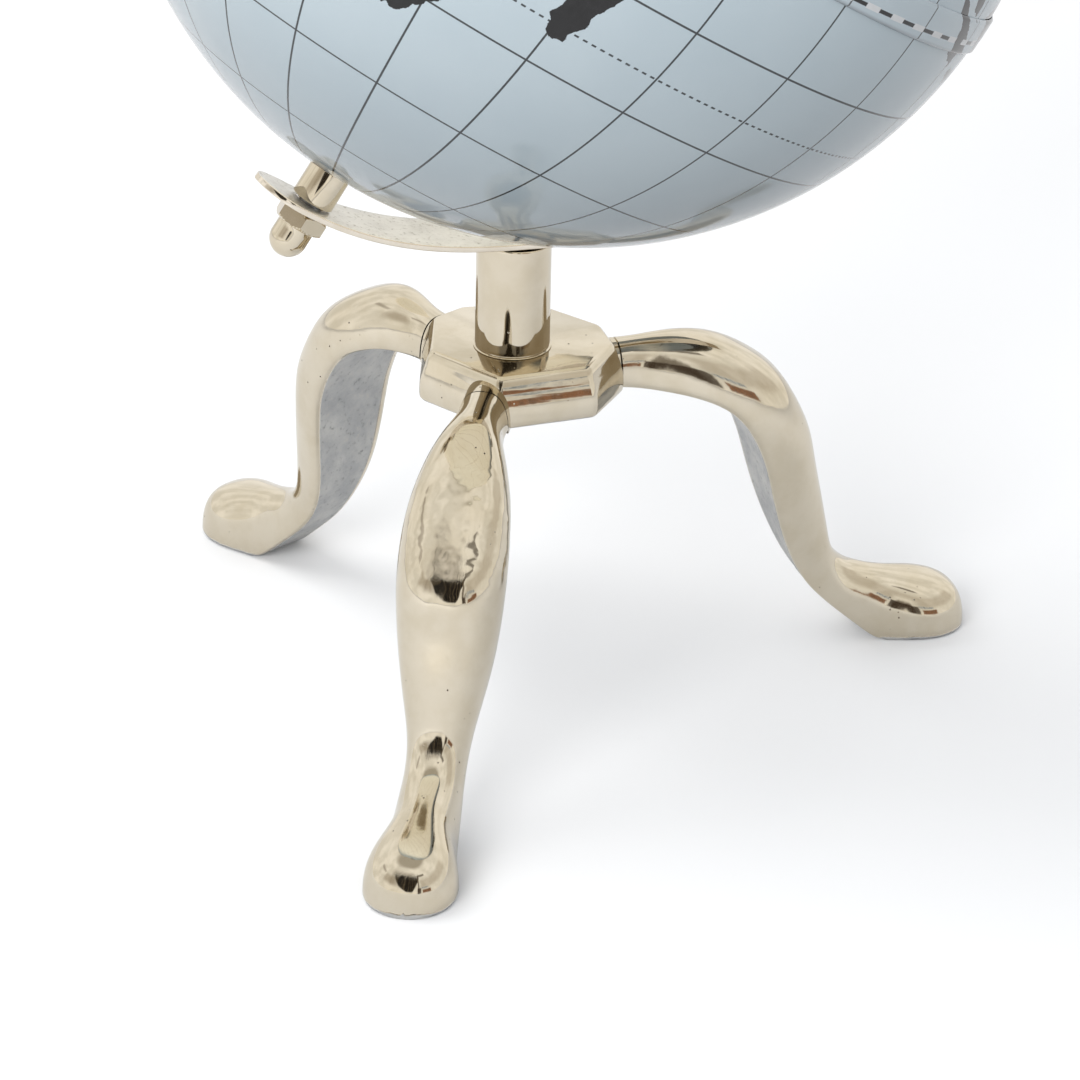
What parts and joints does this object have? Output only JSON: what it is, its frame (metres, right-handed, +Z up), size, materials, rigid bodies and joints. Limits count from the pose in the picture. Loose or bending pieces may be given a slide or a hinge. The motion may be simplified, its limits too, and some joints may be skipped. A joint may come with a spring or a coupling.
{
  "type": "desk globe",
  "caption": "Terrestrial desk globe that spins on a tilted axle, held by a bent metal arm on a short post over a cast three-legged stand with pad feet.",
  "frame": {"origin": "centre of the object's footprint box, on the table top", "axes": "+Z up; the meridian arm lies in the XZ plane and the globe's north pole leans towards +X"},
  "size_m": [0.1582, 0.1512, 0.2386],
  "materials": {
    "cast_nickel": "polished nickel plating on sand-cast metal, warm tint, the flat inner faces left as cast",
    "turned_nickel": "bright nickel plating on turned steel",
    "strip_nickel": "nickel plated strip, bright edges and a satin inner face",
    "zinc_steel": "zinc plated steel",
    "printed_globe": "glossy printed plastic, pale blue-grey sea with dark land and graticule lines",
    "white_nylon": "moulded nylon",
    "printed_tape": "thin printed tape with a dashed line"
  },
  "bodies": {
    "stand": {"base_hub": "cast_nickel", "leg_front": "cast_nickel", "leg_right": "cast_nickel", "leg_left": "cast_nickel", "leg_stud_front": "zinc_steel", "leg_stud_right": "zinc_steel", "leg_stud_left": "zinc_steel", "post": "turned_nickel", "post_stud": "zinc_steel", "hub_washer": "zinc_steel", "hub_nut": "zinc_steel", "meridian_arm": "strip_nickel", "arm_screw": "zinc_steel", "axle_rod": "zinc_steel", "south_spacer": "turned_nickel", "north_spacer": "turned_nickel", "south_cap_nut": "turned_nickel", "north_cap_nut": "turned_nickel"},
    "globe": {"south_bush": "white_nylon", "north_bush": "white_nylon", "joint_ring": "white_nylon", "south_hemisphere": "printed_globe", "north_hemisphere": "printed_globe", "equator_band": "printed_tape"}
  },
  "joints": [
    {"name": "globe_spin", "type": "hinge", "parent": "stand", "child": "globe", "pos_m": [-0.00419, 0, 0.1612], "axis": [0.5519, 0, 0.8339], "continuous": true}
  ]
}
